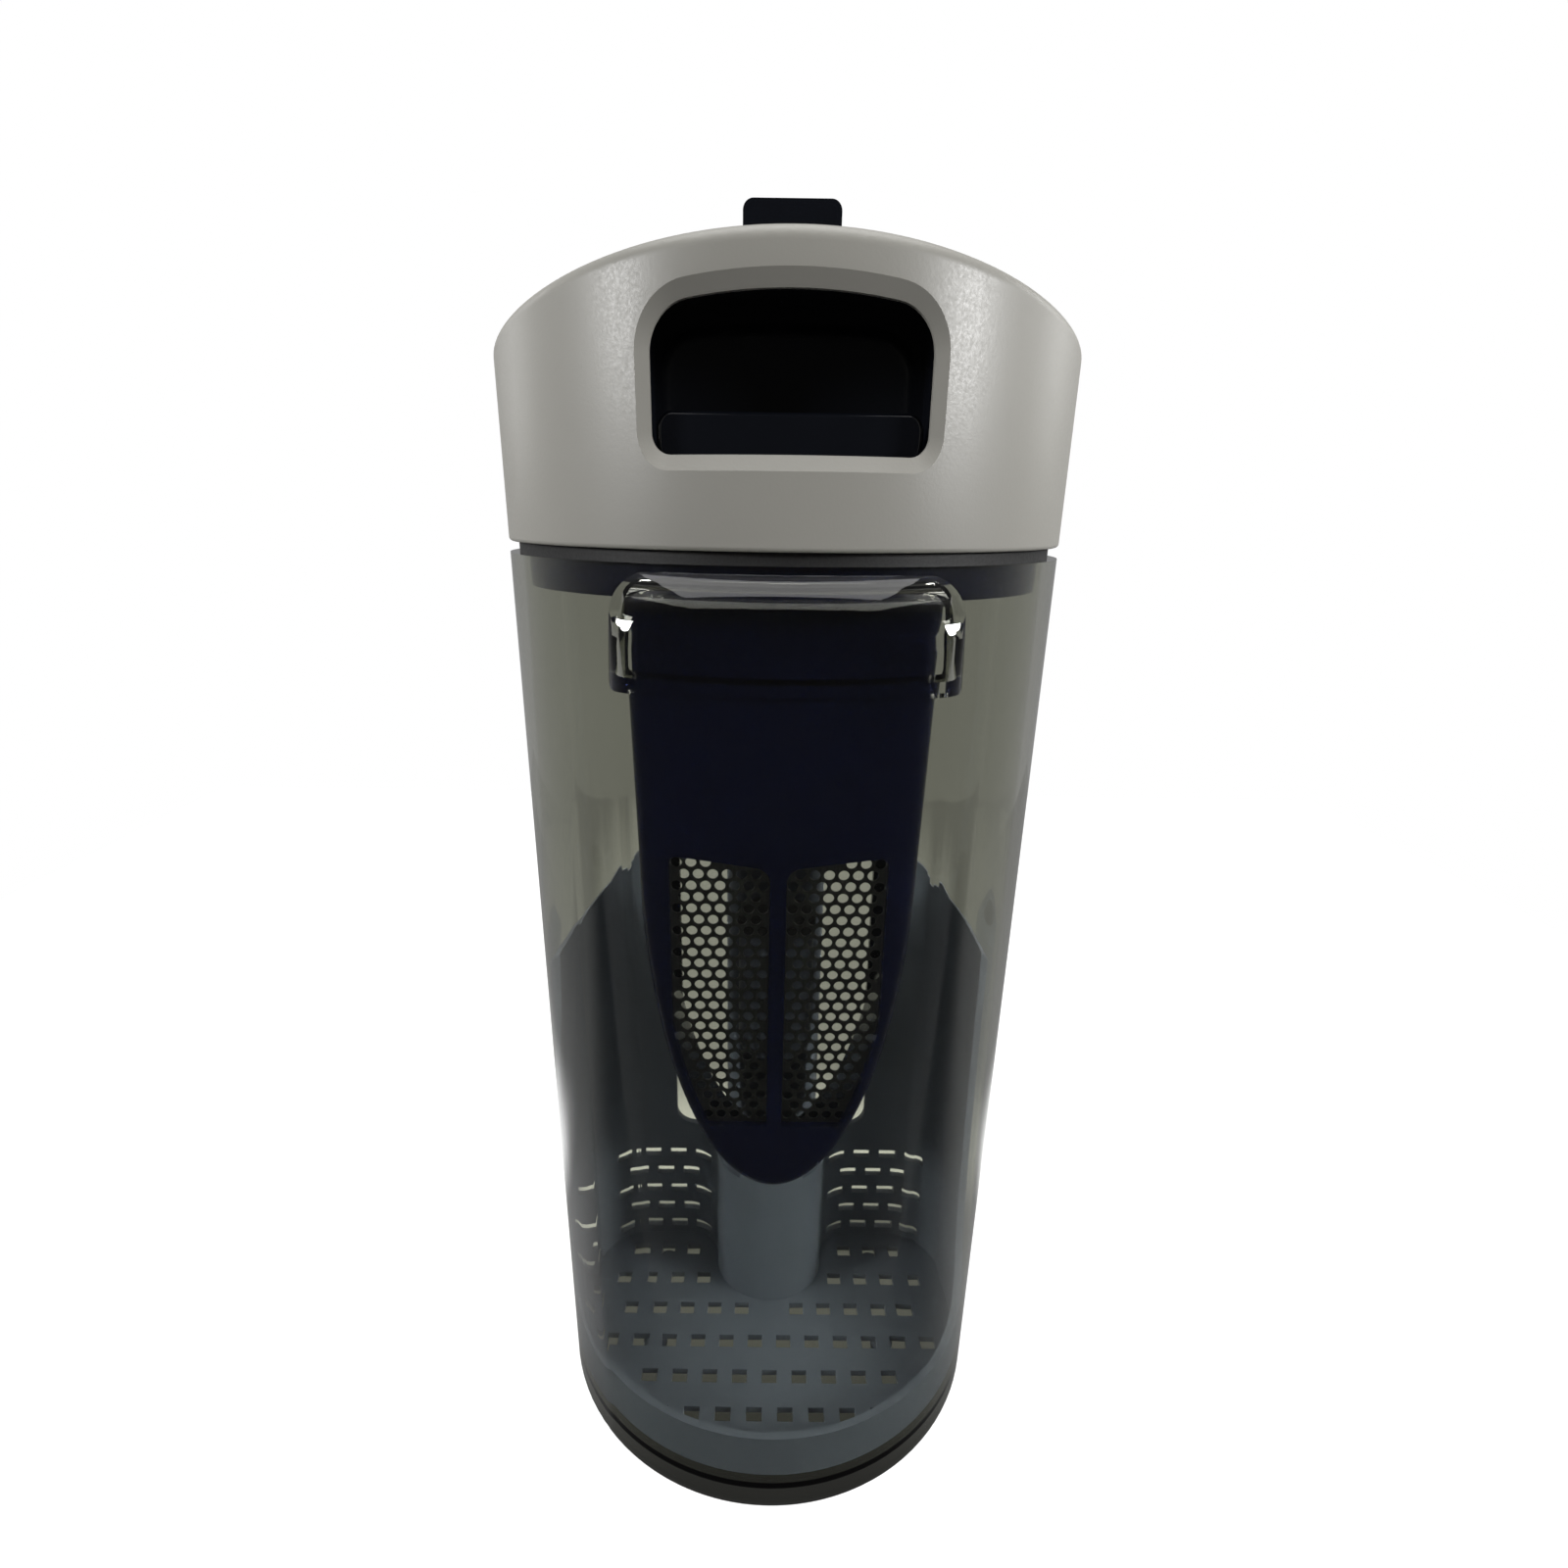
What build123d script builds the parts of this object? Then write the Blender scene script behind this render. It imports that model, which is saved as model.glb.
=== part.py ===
import os
from math import cos, hypot, radians, sin, sqrt

from build123d import *

os.makedirs("parts", exist_ok=True)

# Driving dimensions in millimetres.
# X runs to the right, Y to the flat back and Z up from the standing face.
# The round front is drawn about the Z axis.

# Tank shell
half_width = 54.2
back_depth = 28.0
back_corner = 8.0
least_corner = 0.8
tank_height = 210.5
tank_wall = 2.4
floor_height = 5.0
floor_thick = 2.4
base_rim = 3.2
base_round = 1.6

# Finger hood moulded on the front of the tank
hood_half = 28.6
hood_flare = 1.6
hood_reach = 5.5
hood_height = 18.0
hood_below_rim = 1.2
hood_face = 7.0
hood_corner = 7.0
hood_shoulder = 6.0
hood_heel = 1.4
hood_wall = 2.2

# Inlet pipe that rises behind the strainer cage
pipe_y = 12.4
pipe_radius = 12.2
pipe_wall = 2.0
pipe_top = 192.0
spigot_radius = 10.0
spigot_wall = 1.6
spigot_drop = 4.0
pipe_clear = 0.15
seal_thick = 2.4
seal_band = 1.8

# Strainer basket that stands on the tank floor
basket_gap = 1.0
basket_wall = 1.8
basket_foot = 1.4
basket_foot_radius = 3.0
basket_foot_x = 30.0
basket_foot_y = 14.0
basket_floor = 1.8
basket_lip = 10.0
basket_back = 40.0
pocket_round = 13.0
wing_height = 110.0
shoulder_rise = 22.4
wing_inner = 27.5
scoop_y = -8.0
scoop_round = 24.0
notch_gap = 1.0
drain_side = 3.8
drain_pitch = 7.5
drain_row = 10.5
drain_rows = (-5, 2)
drain_steps = 7
slot_width = 4.8
slot_height = 2.6
slot_pitch = 7.6
slot_row = 6.5
slot_rows = 5
slot_sill = 3.6

# Lid shell
seal_height = 2.0
lid_height = 41.5
lid_wall = 2.4
lid_roof = 3.0
lid_crown = 10.0
lid_round = 2.2
lid_edge = 0.7
boss_radius = 3.6
boss_inset = 10.2
boss_back = 12.0
boss_angle = 30.0
screw_radius = 1.25
screw_head = 2.8
screw_head_thick = 1.8
screw_length = 10.0

# Grip recess in the front of the lid
grip_half = 20.5
grip_sill = 13.3
grip_height = 20.8
grip_arch = 1.8
grip_upper_round = 6.5
grip_lower_round = 3.0
grip_bevel = 2.2
bevel_depth = 1.4
cup_gap = 0.8
cup_wall = 1.4
cup_depth = 18.0
cup_fit = 0.1

# Release bar and latch
bar_half = 20.0
bar_thick = 2.6
bar_rise = 6.2
bar_round = 2.5
web_thick = 1.8
web_half = 12.0
web_gap = 0.5
slide_fit = 0.3
bolt_half = 7.5
bolt_thick = 4.0
bolt_gap = 0.5
tongue_rise = 8.2
tongue_round = 1.6
tongue_wedge = 2.4
bracket_depth = 13.2
bracket_width = 10.5
bracket_rise = 9.0
foot_depth = 6.5
small_screw = 0.95
small_head = 2.0
small_head_thick = 1.2

# Latch spring
spring_radius = 2.6
spring_wire = 0.8
spring_turns = 6
spring_slack = 0.2

# Lid liner
liner_fit = 0.25
deck_thick = 2.5
skirt_drop = 7.5
skirt_gap = 1.2
skirt_wall = 2.0
seal_inset = 1.8
air_hole = 7.4
hub_radius = 3.4
arm_width = 1.6

# Filter cartridge in the lid
filter_width = 62.0
filter_rear = 6.2
filter_corner = 6.0
filter_height = 20.0
filter_wall = 1.6
filter_flange = 2.0
flange_plate = 1.6
seat_thick = 1.4
seat_wall = 1.4
filter_lip = 3.2
filter_fit = 0.3
bar_count = 5
bar_width = 2.0
foam_thick = 4.0
pleat_count = 13
pleat_paper = 0.7
pleat_margin = 1.5
tower_clear = 0.7
tower_gap = 1.2
tower_wall = 1.6
tower_height = 23.0

# Strainer cage that hangs from the lid
cage_half = 28.5
cage_flare = 1.5
cage_front = 24.0
cage_back = -0.6
cage_shoulder = 150.0
cage_tip = 82.0
cage_wall = 2.0
cage_round = 3.0
rear_open = 22.5
rear_top = 146.0
window_rib = 3.4
window_outer = 22.5
window_top = 152.6
window_slope = 3.0
window_foot = 86.0
window_margin = 3.0
window_round = 1.6
window_inner_round = 3.4
sheet_thick = 0.5
sheet_lap = 0.8
sheet_hole = 1.55
sheet_pitch = 4.5
sheet_border = 0.4
cage_boss_x = 25.6
cage_boss_back = 6.6
cage_boss_radius = 3.2
cage_boss_depth = 12.0

# Float that closes the air hole when the tank is full
float_y = -12.0
float_radius = 8.4
float_height = 32.0
float_foot = 100.0
float_round = 3.0
disc_radius = 8.8
disc_thick = 2.5
rod_radius = 1.6
rod_fit = 0.4
rod_seat = 0.1
collar_radius = 3.2
collar_thick = 3.0
tip_boss = 3.4
tip_boss_height = 7.0

# Heights that follow from the driving dimensions
floor_top = floor_height + floor_thick
lid_bottom = tank_height + seal_height
lid_top = lid_bottom + lid_height
crown_radius = (half_width**2 + lid_crown**2) / (2 * lid_crown)
crown_centre = lid_top - crown_radius
deck_top = lid_bottom + deck_thick
hood_top = tank_height - hood_below_rim
hood_bottom = hood_top - hood_height
basket_base = floor_top + basket_foot
basket_top = basket_base + basket_floor
grip_bottom = lid_bottom + grip_sill
grip_top = grip_bottom + grip_height


# Plan outline of tank and lid: round front, straight sides, flat back
def d_plan(inset, corner=back_corner):
    half = half_width - inset
    back = back_depth - inset
    with BuildSketch() as plan:
        with BuildLine():
            CenterArc((0, 0), half, 180, 180)
            Polyline((half, 0), (half, back), (-half, back), (-half, 0))
        make_face()
        fillet(plan.vertices().group_by(Axis.Y)[-1], max(corner - inset, least_corner))
    return plan.sketch


# Solid of the finger hood, drawn in by an inset for its hollow
def hood_body(inset):
    half = hood_half - inset
    reach = half_width + hood_reach - inset
    side = sqrt(reach**2 - half**2)
    foot = hood_bottom + inset
    top = hood_top - inset
    with BuildPart() as body:
        with BuildSketch(Plane.XY.offset(foot)) as plan:
            with BuildLine():
                ThreePointArc((-half, -side), (0, -reach), (half, -side))
                Polyline((half, -side), (half, -side / 2), (-half, -side / 2), (-half, -side))
            make_face()
            fillet(plan.vertices().group_by(Axis.Y)[0], hood_corner - inset)
        extrude(amount=top - foot)
        with BuildSketch(Plane.XZ):
            with BuildLine():
                Polyline((0, top), (0, foot), (reach, foot), (reach, foot + hood_face))
                TangentArc((reach, foot + hood_face), (half_width - inset, top), tangent=(0, 1))
                Line((half_width - inset, top), (0, top))
            make_face()
        revolve(axis=Axis.Z, mode=Mode.INTERSECT)
        with BuildSketch(Plane.XZ) as front:
            with BuildLine():
                Polyline(
                    (-half, foot),
                    (half, foot),
                    (half - hood_flare, top),
                    (hood_flare - half, top),
                    close=True,
                )
            make_face()
            fillet(front.vertices().group_by(Axis.Y)[-1], hood_shoulder - inset)
            fillet(front.vertices().group_by(Axis.Y)[0], max(hood_heel - inset, least_corner))
        extrude(amount=reach, mode=Mode.INTERSECT)
    return body.part


# Outline of the grip recess on the front plane, with an arched top edge
def grip_outline(grow):
    half = grip_half + grow
    low = grip_bottom - grow
    high = grip_top + grow
    with BuildSketch() as outline:
        with BuildLine():
            Polyline((-half, high - grip_arch), (-half, low), (half, low), (half, high - grip_arch))
            ThreePointArc((half, high - grip_arch), (0, high), (-half, high - grip_arch))
        make_face()
        fillet(outline.vertices().group_by(Axis.Y)[-1], grip_upper_round + grow)
        fillet(outline.vertices().group_by(Axis.Y)[0], grip_lower_round + grow)
    return outline.sketch


# Front outline of the strainer cage: straight sides that end in half an ellipse
def cage_outline(inset):
    half = cage_half - inset
    top_half = cage_half + cage_flare - inset
    with BuildSketch() as outline:
        with BuildLine():
            EllipticalCenterArc((0, cage_shoulder), half, cage_tip - inset, start_angle=180, arc_size=180)
            Polyline(
                (half, cage_shoulder),
                (top_half, lid_bottom),
                (-top_half, lid_bottom),
                (-half, cage_shoulder),
            )
        make_face()
    return outline.sketch


# Outline of one steel window, on the right, grown by its lap behind the frame
def window_outline(grow):
    inner = window_rib / 2 - grow
    outer = window_outer + grow
    high = window_top + grow
    low = window_foot - grow
    limit = cage_outline(window_margin - grow)
    with BuildSketch() as outline:
        with BuildLine():
            Polyline((inner, low), (outer, low), (outer, high), (inner, high - window_slope), close=True)
        make_face()
        fillet(outline.vertices().group_by(Axis.Y)[-1], window_round)
        fillet(outline.vertices().sort_by_distance((inner, high - window_slope))[0], window_inner_round)
        add(limit, mode=Mode.INTERSECT)
    return outline.sketch


outer_plan = d_plan(0)
tank_room = d_plan(tank_wall)
base_room = d_plan(base_rim)
hood_skin = hood_body(0)
hood_room = hood_body(hood_wall)

with BuildPart() as tank_shell:
    with BuildSketch():
        add(outer_plan)
    extrude(amount=tank_height)
    fillet(tank_shell.faces().sort_by(Axis.Z)[0].edges(), base_round)
    add(hood_skin)
    with BuildSketch(Plane.XY.offset(floor_top)):
        add(tank_room)
    extrude(amount=tank_height - floor_top, mode=Mode.SUBTRACT)
    add(hood_room, mode=Mode.SUBTRACT)
    with BuildSketch():
        add(base_room)
    extrude(amount=floor_height, mode=Mode.SUBTRACT)
    with BuildSketch(Plane.XY.offset(floor_height)):
        with Locations((0, pipe_y)):
            Circle(spigot_radius + pipe_clear)
    extrude(amount=floor_thick, mode=Mode.SUBTRACT)
tank_shell.part.label = "tank_shell"
export_step(tank_shell.part, "parts/tank_shell.step")

with BuildPart() as inlet_pipe:
    with BuildSketch(Plane.XY.offset(floor_top)):
        with Locations((0, pipe_y)):
            Circle(pipe_radius)
    extrude(amount=pipe_top - floor_top)
    with BuildSketch(Plane.XY.offset(floor_height - spigot_drop)):
        with Locations((0, pipe_y)):
            Circle(spigot_radius)
    extrude(amount=spigot_drop + floor_thick)
    with BuildSketch(Plane.XY.offset(floor_top + pipe_wall)):
        with Locations((0, pipe_y)):
            Circle(pipe_radius - pipe_wall)
    extrude(amount=pipe_top - floor_top - pipe_wall, mode=Mode.SUBTRACT)
    with BuildSketch(Plane.XY.offset(floor_height - spigot_drop)):
        with Locations((0, pipe_y)):
            Circle(spigot_radius - spigot_wall)
    extrude(amount=spigot_drop + floor_thick + pipe_wall, mode=Mode.SUBTRACT)
inlet_pipe.part.label = "inlet_pipe"
export_step(inlet_pipe.part, "parts/inlet_pipe.step")

with BuildPart() as inlet_seal:
    with BuildSketch(Plane.XY.offset(floor_height - seal_thick)):
        with Locations((0, pipe_y)):
            Circle(spigot_radius + seal_band)
            Circle(spigot_radius + pipe_clear, mode=Mode.SUBTRACT)
    extrude(amount=seal_thick)
    fillet(inlet_seal.edges().group_by(Axis.Z)[0].sort_by(SortBy.RADIUS)[-1], seal_band / 3)
inlet_seal.part.label = "inlet_seal"
export_step(inlet_seal.part, "parts/inlet_seal.step")

# The basket is a cup with a notch round the pipe.
# Its walls are cut to a scoop at the front and to two raised wings at the back.
# The back of each pocket is rounded towards the sides and towards the notch.
basket_inset = tank_wall + basket_gap
basket_corner = pocket_round + basket_wall + basket_inset
notch_radius = pipe_radius + notch_gap
notch_reach = back_depth - basket_inset - pipe_y
notch_round = min(pocket_round, notch_reach - basket_wall - least_corner)


# Plan of the basket, drawn in by an inset for its room
def basket_plan(inset):
    half = notch_radius + inset
    with BuildSketch() as plan:
        add(d_plan(basket_inset + inset, basket_corner))
        with Locations((0, pipe_y)):
            Circle(half, mode=Mode.SUBTRACT)
            Rectangle(2 * half, back_depth, align=(Align.CENTER, Align.MIN), mode=Mode.SUBTRACT)
        back_ends = plan.vertices().group_by(Axis.Y)[-1].sort_by(lambda v: abs(v.X))
        fillet(back_ends[:2], notch_round + basket_wall - inset)
    return plan.sketch


wing_top = basket_top + wing_height + shoulder_rise
back_top = basket_top + basket_back
lip_top = basket_top + basket_lip
wing_outer = half_width - basket_inset
round_x = wing_outer - basket_wall - pocket_round
round_y = back_depth - basket_inset - basket_wall - pocket_round
drain_spots = []
for row in range(drain_rows[0], drain_rows[1] + 1):
    for step in range(-drain_steps, drain_steps + 1):
        spot_x = (step + row % 2 / 2) * drain_pitch
        spot_y = row * drain_row - drain_row / 2
        edge = hypot(spot_x, min(spot_y, 0)) + drain_side
        near_pipe = hypot(spot_x, spot_y - pipe_y) - drain_side
        past_x = max(abs(spot_x) - round_x, 0)
        past_y = max(spot_y - round_y, 0)
        clear_front = edge < wing_outer - basket_wall
        clear_pipe = near_pipe > notch_radius + basket_wall
        clear_back = hypot(past_x, past_y) + drain_side < pocket_round
        if clear_front and clear_pipe and clear_back:
            drain_spots.append((spot_x, spot_y))
slot_first = notch_radius + basket_wall + slot_width
slot_last = wing_outer - basket_wall - slot_width
slot_spots = []
for row in range(slot_rows):
    spot_x = slot_first + row % 2 * slot_pitch / 2
    while spot_x < slot_last:
        slot_spots.append((spot_x, basket_top + slot_sill + row * slot_row))
        slot_spots.append((-spot_x, basket_top + slot_sill + row * slot_row))
        spot_x += slot_pitch

with BuildPart() as strainer_basket:
    with BuildSketch(Plane.XY.offset(basket_base)):
        add(basket_plan(0))
    extrude(amount=wing_top - basket_base)
    with BuildSketch(Plane.XY.offset(basket_top)):
        add(basket_plan(basket_wall))
    extrude(amount=wing_top - basket_top, mode=Mode.SUBTRACT)
    with BuildSketch(Plane.YZ) as scoop:
        with BuildLine():
            Polyline(
                (-half_width, lip_top),
                (scoop_y, lip_top),
                (scoop_y, wing_top),
                (-half_width, wing_top),
                close=True,
            )
        make_face()
        fillet(scoop.vertices().sort_by_distance((scoop_y, lip_top))[0], scoop_round)
    extrude(amount=half_width, both=True, mode=Mode.SUBTRACT)
    with BuildSketch(Plane.XZ) as saddle:
        with BuildLine():
            Polyline(
                (-wing_inner, wing_top),
                (-wing_inner, back_top),
                (wing_inner, back_top),
                (wing_inner, wing_top),
                close=True,
            )
        make_face()
        fillet(saddle.vertices().group_by(Axis.Y)[0], basket_lip / 2)
    extrude(amount=-back_depth, mode=Mode.SUBTRACT)
    with BuildSketch(Plane.XZ):
        for side in (-1, 1):
            with BuildLine():
                Polyline(
                    (side * wing_inner, wing_top),
                    (side * wing_outer, wing_top - shoulder_rise),
                    (side * half_width, wing_top - shoulder_rise),
                    (side * half_width, wing_top),
                    close=True,
                )
            make_face()
    extrude(amount=half_width, both=True, mode=Mode.SUBTRACT)
    with BuildSketch(Plane.XY.offset(basket_base)):
        with Locations(*drain_spots):
            Rectangle(drain_side, drain_side)
    extrude(amount=basket_floor, mode=Mode.SUBTRACT)
    with BuildSketch(Plane.XZ.offset(-(back_depth - basket_inset))):
        with Locations(*slot_spots):
            Rectangle(slot_width, slot_height)
    extrude(amount=basket_wall + pocket_round, mode=Mode.SUBTRACT)
    with BuildSketch(Plane.XY.offset(floor_top)):
        with GridLocations(2 * basket_foot_x, 2 * basket_foot_y, 2, 2):
            Circle(basket_foot_radius)
    extrude(amount=basket_foot)
strainer_basket.part.label = "strainer_basket"
export_step(strainer_basket.part, "parts/strainer_basket.step")

# Lid shell with its window, filter seat, tongue slot and screw bosses
lid_room = d_plan(lid_wall)
grip_face = grip_outline(0)
cup_back = half_width - lid_wall - cup_depth
bolt_front = cup_back - bolt_gap
bolt_y = -(bolt_front - bolt_thick / 2)
filter_front = tower_clear - (bolt_front - bracket_depth) + tower_wall + tower_gap
filter_depth = back_depth - lid_wall - filter_rear - filter_front
filter_y = filter_front + filter_depth / 2
cage_boss_y = filter_front + cage_boss_back
boss_ring = half_width - boss_inset
boss_x = boss_ring * cos(radians(boss_angle))
boss_y = -boss_ring * sin(radians(boss_angle))
boss_spots = ((boss_ring, boss_back), (-boss_ring, boss_back), (boss_x, boss_y), (-boss_x, boss_y))

# The roof is crowned across its width, so the filter lies in a flat seat let into it.
frame_top = crown_centre + sqrt(crown_radius**2 - (filter_width / 2 + filter_flange) ** 2)
flange_under = frame_top - flange_plate
seat_under = flange_under - seat_thick
seat_grow = filter_flange + filter_fit

# Room under the roof, less the filter seat and the screw bosses
with BuildPart() as roof_room:
    with BuildSketch(Plane.XY.offset(lid_bottom)):
        add(lid_room)
    extrude(amount=lid_height)
    with BuildSketch(Plane.XZ):
        with Locations((0, crown_centre)):
            Circle(crown_radius - lid_roof)
    extrude(amount=half_width, both=True, mode=Mode.INTERSECT)
    with BuildSketch(Plane.XY.offset(seat_under)):
        with Locations((0, filter_y)):
            RectangleRounded(
                filter_width + 2 * (seat_grow + seat_wall),
                filter_depth + 2 * (seat_grow + seat_wall),
                filter_corner + seat_grow + seat_wall,
            )
    extrude(amount=lid_height, mode=Mode.SUBTRACT)
    with BuildSketch(Plane.XY.offset(deck_top)):
        with Locations(*boss_spots):
            Circle(boss_radius)
    extrude(amount=lid_height, mode=Mode.SUBTRACT)

with BuildPart() as lid_shell:
    with BuildSketch(Plane.XY.offset(lid_bottom)):
        add(outer_plan)
    extrude(amount=lid_height)
    with BuildSketch(Plane.XZ):
        with Locations((0, crown_centre)):
            Circle(crown_radius)
    extrude(amount=half_width, both=True, mode=Mode.INTERSECT)
    fillet(lid_shell.faces().sort_by(Axis.Z)[-1].edges(), lid_round)
    fillet(lid_shell.faces().sort_by(Axis.Z)[0].edges(), lid_edge)
    with BuildSketch(Plane.XZ):
        add(grip_face)
    extrude(amount=half_width, mode=Mode.SUBTRACT)
    rim = lid_shell.edges(Select.LAST)
    rim = rim.filter_by(lambda e: hypot(e.center().X, e.center().Y) > half_width - lid_wall / 2)
    round_front = lid_shell.faces().filter_by(GeomType.CYLINDER).sort_by(Axis.Y)[0]
    chamfer(rim, grip_bevel, bevel_depth, reference=round_front)
    add(roof_room.part, mode=Mode.SUBTRACT)
    with BuildSketch(Plane.XY.offset(flange_under)):
        with Locations((0, filter_y)):
            RectangleRounded(
                filter_width + 2 * seat_grow, filter_depth + 2 * seat_grow, filter_corner + seat_grow
            )
    extrude(amount=lid_height, mode=Mode.SUBTRACT)
    with BuildSketch(Plane.XY.offset(seat_under)):
        with Locations((0, filter_y)):
            RectangleRounded(
                filter_width + 2 * filter_fit, filter_depth + 2 * filter_fit, filter_corner + filter_fit
            )
    extrude(amount=lid_height, mode=Mode.SUBTRACT)
    with BuildSketch(Plane.XY.offset(lid_top)):
        with Locations((0, bolt_y)):
            Rectangle(2 * (bolt_half + slide_fit), bolt_thick + 2 * slide_fit)
    extrude(amount=-2 * lid_roof, mode=Mode.SUBTRACT)
    with BuildSketch(Plane.XY.offset(deck_top)):
        with Locations(*boss_spots):
            Circle(screw_radius)
    extrude(amount=screw_length, mode=Mode.SUBTRACT)
lid_shell.part.label = "lid_shell"
export_step(lid_shell.part, "parts/lid_shell.step")

# Black finger cup behind the window, open to the front, with a slot for the release bar
cup_skin = grip_outline(cup_gap + cup_wall)
cup_room = grip_outline(cup_gap)
cup_front = half_width - lid_wall - cup_fit
slot_half = bar_half + slide_fit
slot_front = sqrt(cup_front**2 - (slot_half + cup_wall) ** 2)
bar_y = bar_thick / 2 + slide_fit - slot_front

with BuildPart() as grip_cup:
    with BuildSketch(Plane.XZ.offset(cup_back)):
        add(cup_skin)
    extrude(amount=half_width)
    with BuildSketch(Plane.XY.offset(lid_bottom)):
        Circle(cup_front)
    extrude(amount=lid_height, mode=Mode.INTERSECT)
    with BuildSketch(Plane.XZ.offset(cup_back + cup_wall)):
        add(cup_room)
    extrude(amount=half_width, mode=Mode.SUBTRACT)
    with BuildSketch(Plane.XY.offset(grip_bottom - cup_gap - cup_wall)):
        with Locations((0, bar_y)):
            Rectangle(2 * slot_half, bar_thick + 2 * slide_fit)
    extrude(amount=bar_rise, mode=Mode.SUBTRACT)
grip_cup.part.label = "grip_cup"
export_step(grip_cup.part, "parts/grip_cup.step")

# Release bar: the plate seen in the recess, with a web under the cup
web_top = grip_bottom - cup_gap - cup_wall - web_gap
web_bottom = web_top - web_thick
bar_top = grip_bottom + bar_rise
web_back = -(bolt_front - foot_depth)
latch_screw_y = web_back - small_head

with BuildPart() as release_bar:
    with BuildSketch(Plane.XZ.offset(-bar_y - bar_thick / 2)) as plate:
        with Locations((0, web_bottom)):
            Rectangle(2 * bar_half, bar_top - web_bottom, align=(Align.CENTER, Align.MIN))
        fillet(plate.vertices().group_by(Axis.Y)[-1], bar_round)
    extrude(amount=bar_thick)
    fillet(release_bar.faces().sort_by(Axis.Z)[-1].edges().filter_by(Axis.X), bar_thick / 3)
    with BuildSketch(Plane.XY.offset(web_bottom)):
        with Locations((0, bar_y)):
            Rectangle(2 * web_half, web_back - bar_y, align=(Align.CENTER, Align.MIN))
    extrude(amount=web_thick)
    with BuildSketch(Plane.XY.offset(web_bottom)):
        with Locations((0, latch_screw_y)):
            Circle(small_screw + slide_fit)
    extrude(amount=web_thick, mode=Mode.SUBTRACT)
release_bar.part.label = "release_bar"
export_step(release_bar.part, "parts/release_bar.step")

# Latch bolt: foot on the web, stem behind the cup, tongue above the lid
bracket_z = web_top + bracket_rise
tongue_top = lid_top + tongue_rise
bolt_back = -(bolt_front - bolt_thick)
spring_y = -(bolt_front - bracket_depth + spring_radius + spring_wire)

with BuildPart() as latch_bolt:
    with BuildSketch(Plane.XZ.offset(bolt_front - bolt_thick)) as stem:
        with Locations((0, web_top)):
            Rectangle(2 * bolt_half, tongue_top - web_top, align=(Align.CENTER, Align.MIN))
        fillet(stem.vertices().group_by(Axis.Y)[-1], tongue_round)
    extrude(amount=bolt_thick)
    with BuildSketch(Plane.YZ):
        with BuildLine():
            Polyline(
                (bolt_back, tongue_top - tongue_wedge),
                (bolt_back, tongue_top),
                (bolt_back - tongue_wedge, tongue_top),
                close=True,
            )
        make_face()
    extrude(amount=bolt_half, both=True, mode=Mode.SUBTRACT)
    with BuildSketch(Plane.XY.offset(web_top)):
        with Locations((0, -bolt_front)):
            Rectangle(2 * bolt_half, foot_depth, align=(Align.CENTER, Align.MIN))
    extrude(amount=2 * web_thick)
    with BuildSketch(Plane.XY.offset(bracket_z)):
        with Locations((0, -bolt_front)):
            Rectangle(bracket_width, bracket_depth, align=(Align.CENTER, Align.MIN))
    extrude(amount=web_thick)
    with BuildSketch(Plane.XY.offset(web_top)):
        with Locations((0, latch_screw_y)):
            Circle(small_screw)
    extrude(amount=web_thick, mode=Mode.SUBTRACT)
latch_bolt.part.label = "latch_bolt"
export_step(latch_bolt.part, "parts/latch_bolt.step")

with BuildPart() as latch_screw:
    with BuildSketch(Plane.XY.offset(web_bottom - small_head_thick)):
        with Locations((0, latch_screw_y)):
            Circle(small_head)
    extrude(amount=small_head_thick)
    with BuildSketch(Plane.XY.offset(web_bottom)):
        with Locations((0, latch_screw_y)):
            Circle(small_screw)
    extrude(amount=2 * web_thick)
latch_screw.part.label = "latch_screw"
export_step(latch_screw.part, "parts/latch_screw.step")

# Coil spring between the deck and the bracket of the bolt
spring_length = bracket_z - deck_top - spring_wire - 2 * spring_slack

with BuildPart() as latch_spring:
    with BuildLine(Plane((0, spring_y, deck_top + spring_slack + spring_wire / 2))):
        coil = Helix(spring_length / spring_turns, spring_length, spring_radius)
    with BuildSketch(Plane(coil @ 0, x_dir=(1, 0, 0), z_dir=coil % 0)):
        Rectangle(spring_wire, spring_wire)
    sweep(path=coil, is_frenet=True)
latch_spring.part.label = "latch_spring"
export_step(latch_spring.part, "parts/latch_spring.step")

# Navy liner: deck that closes the lid, skirt that enters the tank, tower under the filter
deck_plan = d_plan(lid_wall + liner_fit)
skirt_inset = tank_wall + skirt_gap
skirt_plan = d_plan(skirt_inset)
skirt_room = d_plan(skirt_inset + skirt_wall)
cage_screw_spots = ((cage_boss_x, cage_boss_y), (-cage_boss_x, cage_boss_y))

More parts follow.
